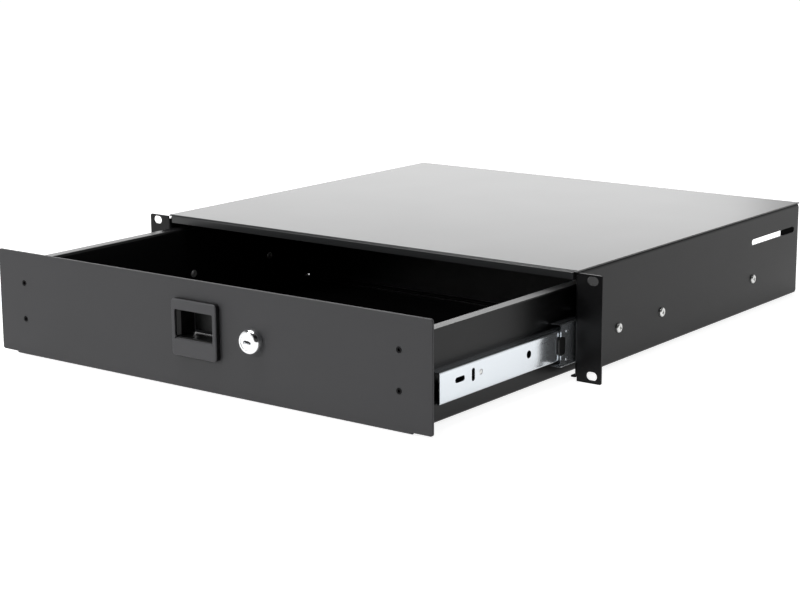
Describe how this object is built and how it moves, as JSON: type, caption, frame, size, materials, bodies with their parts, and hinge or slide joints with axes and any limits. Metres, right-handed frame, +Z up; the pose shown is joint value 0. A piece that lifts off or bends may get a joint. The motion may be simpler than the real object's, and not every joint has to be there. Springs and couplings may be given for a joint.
{
  "type": "sliding rack drawer",
  "caption": "Lockable black steel drawer for an equipment rack: folded chassis with rack ears, tray on ball slides, push latch and cam lock.",
  "frame": {"origin": "centre of the four ear slots, in the plane of the ears' front faces", "axes": "+Y to the rear, along the drawer's travel; -Y towards the user; +X to the user's right; +Z up"},
  "size_m": [0.4826, 0.5996, 0.0884],
  "materials": {
    "powder_coat": "satin black powder coat",
    "cover_coat": "satin black powder coat on the flat cover",
    "panel_coat": "fine matt charcoal powder coat",
    "zinc_rail": "bright zinc-plated rolled steel",
    "zinc_screw": "bright zinc plate",
    "black_fastener": "black oxide",
    "ball_steel": "polished steel",
    "black_nylon": "moulded nylon",
    "latch_plastic": "moulded ABS, satin",
    "paddle_plastic": "moulded ABS, fine grain",
    "lock_chrome": "bright chrome plate",
    "spring_steel": "drawn spring wire"
  },
  "bodies": {
    "chassis": {"side_panel_left": "powder_coat", "side_panel_right": "powder_coat", "top_cover": "cover_coat", "rear_brace": "powder_coat", "brace_rivets": "black_fastener", "outer_rail_left": "zinc_rail", "outer_rail_right": "zinc_rail", "outer_rail_screws": "zinc_screw", "slide_stops": "black_nylon"},
    "mid_right": {"mid_rail_right": "zinc_rail", "mid_rail_bumper_right": "black_nylon"},
    "mid_left": {"mid_rail_left": "zinc_rail", "mid_rail_bumper_left": "black_nylon"},
    "outer_cage_right": {"outer_cage_right": "black_nylon", "outer_balls_right": "ball_steel"},
    "outer_cage_left": {"outer_cage_left": "black_nylon", "outer_balls_left": "ball_steel"},
    "inner_cage_right": {"inner_cage_right": "black_nylon", "inner_balls_right": "ball_steel"},
    "inner_cage_left": {"inner_cage_left": "black_nylon", "inner_balls_left": "ball_steel"},
    "drawer": {"front_panel": "panel_coat", "tray_pan": "powder_coat", "tray_front": "powder_coat", "tray_back": "powder_coat", "inner_rail_left": "zinc_rail", "inner_rail_right": "zinc_rail", "rail_spacers": "zinc_screw", "inner_rail_screws": "zinc_screw", "panel_screws": "black_fastener", "panel_nuts": "zinc_screw", "latch_bezel": "latch_plastic", "latch_screws": "zinc_screw", "latch_frame": "zinc_screw", "paddle_pin": "zinc_screw", "paddle_spring": "spring_steel", "lock_body": "lock_chrome", "lock_washer": "zinc_screw", "lock_nut": "lock_chrome"},
    "paddle": {"latch_paddle": "paddle_plastic"},
    "bolt": {"latch_bolt": "black_nylon"},
    "lock_core": {"lock_plug": "lock_chrome", "lock_cam": "zinc_screw", "cam_screw": "zinc_screw"}
  },
  "joints": [
    {"name": "right_mid_slide", "type": "slide", "parent": "chassis", "child": "mid_right", "axis": [0, -1, 0], "range_m": [-0.036, 0.139]},
    {"name": "left_mid_slide", "type": "slide", "parent": "chassis", "child": "mid_left", "axis": [0, -1, 0], "range_m": [-0.036, 0.139]},
    {"name": "right_outer_cage_roll", "type": "slide", "parent": "chassis", "child": "outer_cage_right", "axis": [0, -1, 0], "range_m": [-0.018, 0.0695]},
    {"name": "left_outer_cage_roll", "type": "slide", "parent": "chassis", "child": "outer_cage_left", "axis": [0, -1, 0], "range_m": [-0.018, 0.0695]},
    {"name": "drawer_slide", "type": "slide", "parent": "mid_right", "child": "drawer", "axis": [0, -1, 0], "range_m": [-0.1601, 0.0149]},
    {"name": "right_inner_cage_roll", "type": "slide", "parent": "mid_right", "child": "inner_cage_right", "axis": [0, -1, 0], "range_m": [-0.0801, 0.0075]},
    {"name": "left_inner_cage_roll", "type": "slide", "parent": "mid_left", "child": "inner_cage_left", "axis": [0, -1, 0], "range_m": [-0.0801, 0.0075]},
    {"name": "latch_paddle_hinge", "type": "hinge", "parent": "drawer", "child": "paddle", "pos_m": [0, -0.1816, 0.031], "axis": [1, 0, 0], "range_deg": [0, 24], "stiffness_Nm_per_rad": 0.06, "springref_deg": -20.05, "deforming": ["paddle_spring"]},
    {"name": "latch_bolt_slide", "type": "slide", "parent": "drawer", "child": "bolt", "axis": [0, 0, 1], "range_m": [-0.0048, 0]},
    {"name": "lock_turn", "type": "hinge", "parent": "drawer", "child": "lock_core", "pos_m": [0.0562, -0.19, 0.0046], "axis": [0, -1, 0], "range_deg": [0, 90]}
  ],
  "couplings": [
    {"joint": "left_mid_slide", "follows": "right_mid_slide", "ratio": 1},
    {"joint": "right_outer_cage_roll", "follows": "right_mid_slide", "ratio": 0.5},
    {"joint": "left_outer_cage_roll", "follows": "right_mid_slide", "ratio": 0.5},
    {"joint": "right_inner_cage_roll", "follows": "drawer_slide", "ratio": 0.5},
    {"joint": "left_inner_cage_roll", "follows": "drawer_slide", "ratio": 0.5},
    {"joint": "latch_bolt_slide", "follows": "latch_paddle_hinge", "m_per_rad": -0.0108}
  ]
}
